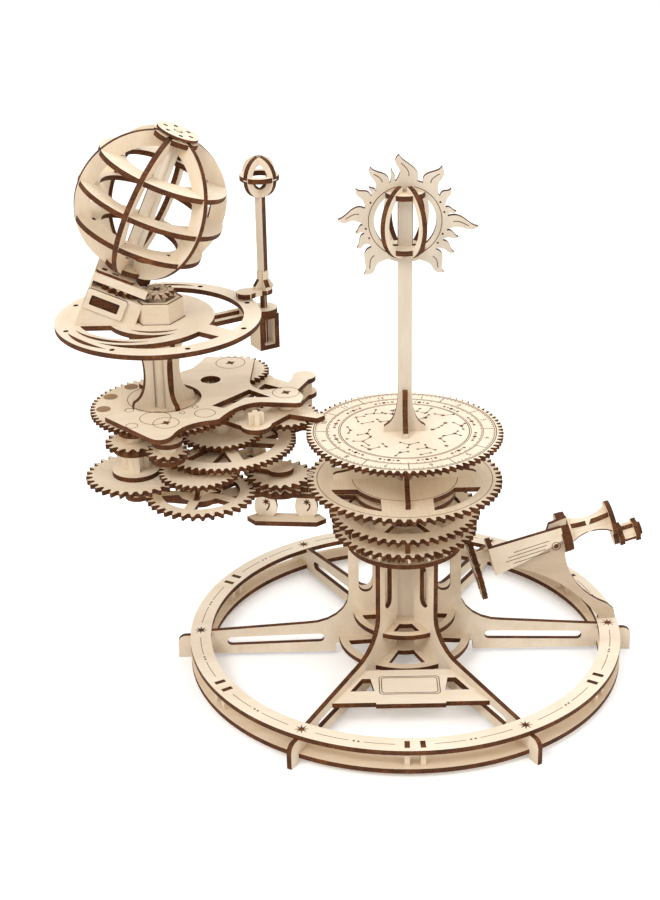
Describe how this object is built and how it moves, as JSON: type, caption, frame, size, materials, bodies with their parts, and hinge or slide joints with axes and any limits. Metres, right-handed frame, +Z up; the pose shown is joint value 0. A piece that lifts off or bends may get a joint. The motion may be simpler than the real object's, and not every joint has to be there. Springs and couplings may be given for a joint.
{
  "type": "tellurion",
  "caption": "Wooden tellurion: a hand crank turns an open train of plywood gears that carries a tilted Earth globe and a Moon round a fixed Sun above a ringed base.",
  "frame": {"origin": "on the floor plane, on the Sun's upright axis, at the centre of the round base", "axes": "+Z up along the Sun's post, +X to the crank's side, -Y to the viewer and the bare front plate"},
  "size_m": [0.3459, 0.262, 0.3263],
  "materials": {
    "birch_ply": "matte laser-cut plywood",
    "pale_ply": "matte laser-cut plywood",
    "dark_edge": "charred laser-cut edges"
  },
  "bodies": {
    "base": {"leg_1": "birch_ply", "leg_2": "birch_ply", "leg_3": "birch_ply", "leg_4": "birch_ply", "leg_5": "birch_ply", "leg_6": "birch_ply", "upper_ring": "birch_ply", "lower_ring": "birch_ply", "ring_joiners": "dark_edge", "column_plate": "birch_ply", "floor_plate": "birch_ply", "front_panel": "pale_ply", "bearing_disc": "birch_ply", "centre_post": "pale_ply", "fixed_gear": "birch_ply", "dial_brackets": "birch_ply", "dial": "pale_ply", "sun_post": "birch_ply", "sun_rays": "pale_ply", "sun_cage": "dark_edge", "sun_caps": "dark_edge", "crank_support": "birch_ply", "crank_cheek": "birch_ply", "crank_bearing": "dark_edge"},
    "crank": {"crank_shaft": "pale_ply", "crank_wheel": "birch_ply", "crank_arm": "birch_ply"},
    "knob": {"crank_knob": "dark_edge"},
    "carriage": {"crown_gear": "birch_ply", "drum_gear": "birch_ply", "drum_spacers": "dark_edge", "arm_floor": "birch_ply", "arm_cap": "birch_ply", "arm_bridge": "birch_ply", "arm_deck": "birch_ply", "arm_top": "birch_ply", "arm_posts": "pale_ply"},
    "planet": {"planet_gears": "birch_ply"},
    "spoked": {"spoked_gear": "birch_ply", "spoked_arbor": "pale_ply"},
    "left": {"left_wheel": "birch_ply", "left_arbor": "pale_ply"},
    "fast": {"fast_wheel": "birch_ply", "fast_arbor": "pale_ply"},
    "back": {"back_arbor": "birch_ply"},
    "tip": {"tip_pinion": "birch_ply"},
    "dial_follower": {"dial_pinion": "birch_ply"},
    "earth_frame": {"earth_stem": "pale_ply", "orbit_plate": "birch_ply", "gear_box": "pale_ply", "tilt_block": "birch_ply"},
    "spin": {"spin_shaft": "pale_ply"},
    "globe": {"globe_meridians": "dark_edge", "globe_parallels": "pale_ply", "globe_axle": "birch_ply"},
    "moon": {"moon_disc": "birch_ply", "moon_column": "pale_ply", "moon_arm": "birch_ply", "moon_post": "pale_ply", "moon_ball": "pale_ply"}
  },
  "joints": [
    {"name": "orbit", "type": "hinge", "parent": "base", "child": "carriage", "pos_m": [0, 0, 0.1], "axis": [0, 0, 1], "continuous": true},
    {"name": "crank_turn", "type": "hinge", "parent": "base", "child": "crank", "pos_m": [0.04183, 0.0044, 0.0614], "axis": [0.9606, 0.101, 0.2588], "continuous": true},
    {"name": "knob_turn", "type": "hinge", "parent": "crank", "child": "knob", "pos_m": [0.12971, 0.01363, 0.07162], "axis": [0.9606, 0.101, 0.2588], "continuous": true},
    {"name": "planet_turn", "type": "hinge", "parent": "carriage", "child": "planet", "pos_m": [-0.07334, 0.00823, 0.117], "axis": [0, 0, 1], "continuous": true},
    {"name": "spoked_turn", "type": "hinge", "parent": "carriage", "child": "spoked", "pos_m": [-0.11982, -0.00599, 0.114], "axis": [0, 0, 1], "continuous": true},
    {"name": "left_turn", "type": "hinge", "parent": "carriage", "child": "left", "pos_m": [-0.15766, 0.00209, 0.124], "axis": [0, 0, 1], "continuous": true},
    {"name": "fast_turn", "type": "hinge", "parent": "carriage", "child": "fast", "pos_m": [-0.10834, 0.0226, 0.135], "axis": [0, 0, 1], "continuous": true},
    {"name": "back_turn", "type": "hinge", "parent": "carriage", "child": "back", "pos_m": [-0.10401, 0.07492, 0.135], "axis": [0, 0, 1], "continuous": true},
    {"name": "tip_turn", "type": "hinge", "parent": "carriage", "child": "tip", "pos_m": [-0.13682, -0.01362, 0.145], "axis": [0, 0, 1], "continuous": true},
    {"name": "dial_follower_turn", "type": "hinge", "parent": "carriage", "child": "dial_follower", "pos_m": [-0.06908, 0.02707, 0.149], "axis": [0, 0, 1], "continuous": true},
    {"name": "earth_frame_turn", "type": "hinge", "parent": "carriage", "child": "earth_frame", "pos_m": [-0.14124, 0.02237, 0.145], "axis": [0, 0, 1], "continuous": true},
    {"name": "spin_turn", "type": "hinge", "parent": "carriage", "child": "spin", "pos_m": [-0.14124, 0.02237, 0.14], "axis": [0, 0, 1], "continuous": true},
    {"name": "moon_turn", "type": "hinge", "parent": "carriage", "child": "moon", "pos_m": [-0.14124, 0.02237, 0.158], "axis": [0, 0, 1], "continuous": true},
    {"name": "globe_turn", "type": "hinge", "parent": "earth_frame", "child": "globe", "pos_m": [-0.14124, 0.02237, 0.283], "axis": [0.3971, 0, 0.9178], "continuous": true}
  ],
  "couplings": [
    {"joint": "crank_turn", "follows": "orbit", "ratio": -1.5385},
    {"joint": "planet_turn", "follows": "orbit", "ratio": 3.1},
    {"joint": "spoked_turn", "follows": "orbit", "ratio": -1.8235},
    {"joint": "left_turn", "follows": "orbit", "ratio": 0.70588},
    {"joint": "fast_turn", "follows": "orbit", "ratio": 4.8627},
    {"joint": "back_turn", "follows": "orbit", "ratio": -23.192},
    {"joint": "tip_turn", "follows": "orbit", "ratio": -1},
    {"joint": "dial_follower_turn", "follows": "orbit", "ratio": 3.0769},
    {"joint": "earth_frame_turn", "follows": "orbit", "ratio": -1},
    {"joint": "spin_turn", "follows": "orbit", "ratio": -12.718},
    {"joint": "moon_turn", "follows": "orbit", "ratio": 12.369},
    {"joint": "globe_turn", "follows": "orbit", "ratio": 8.463}
  ]
}
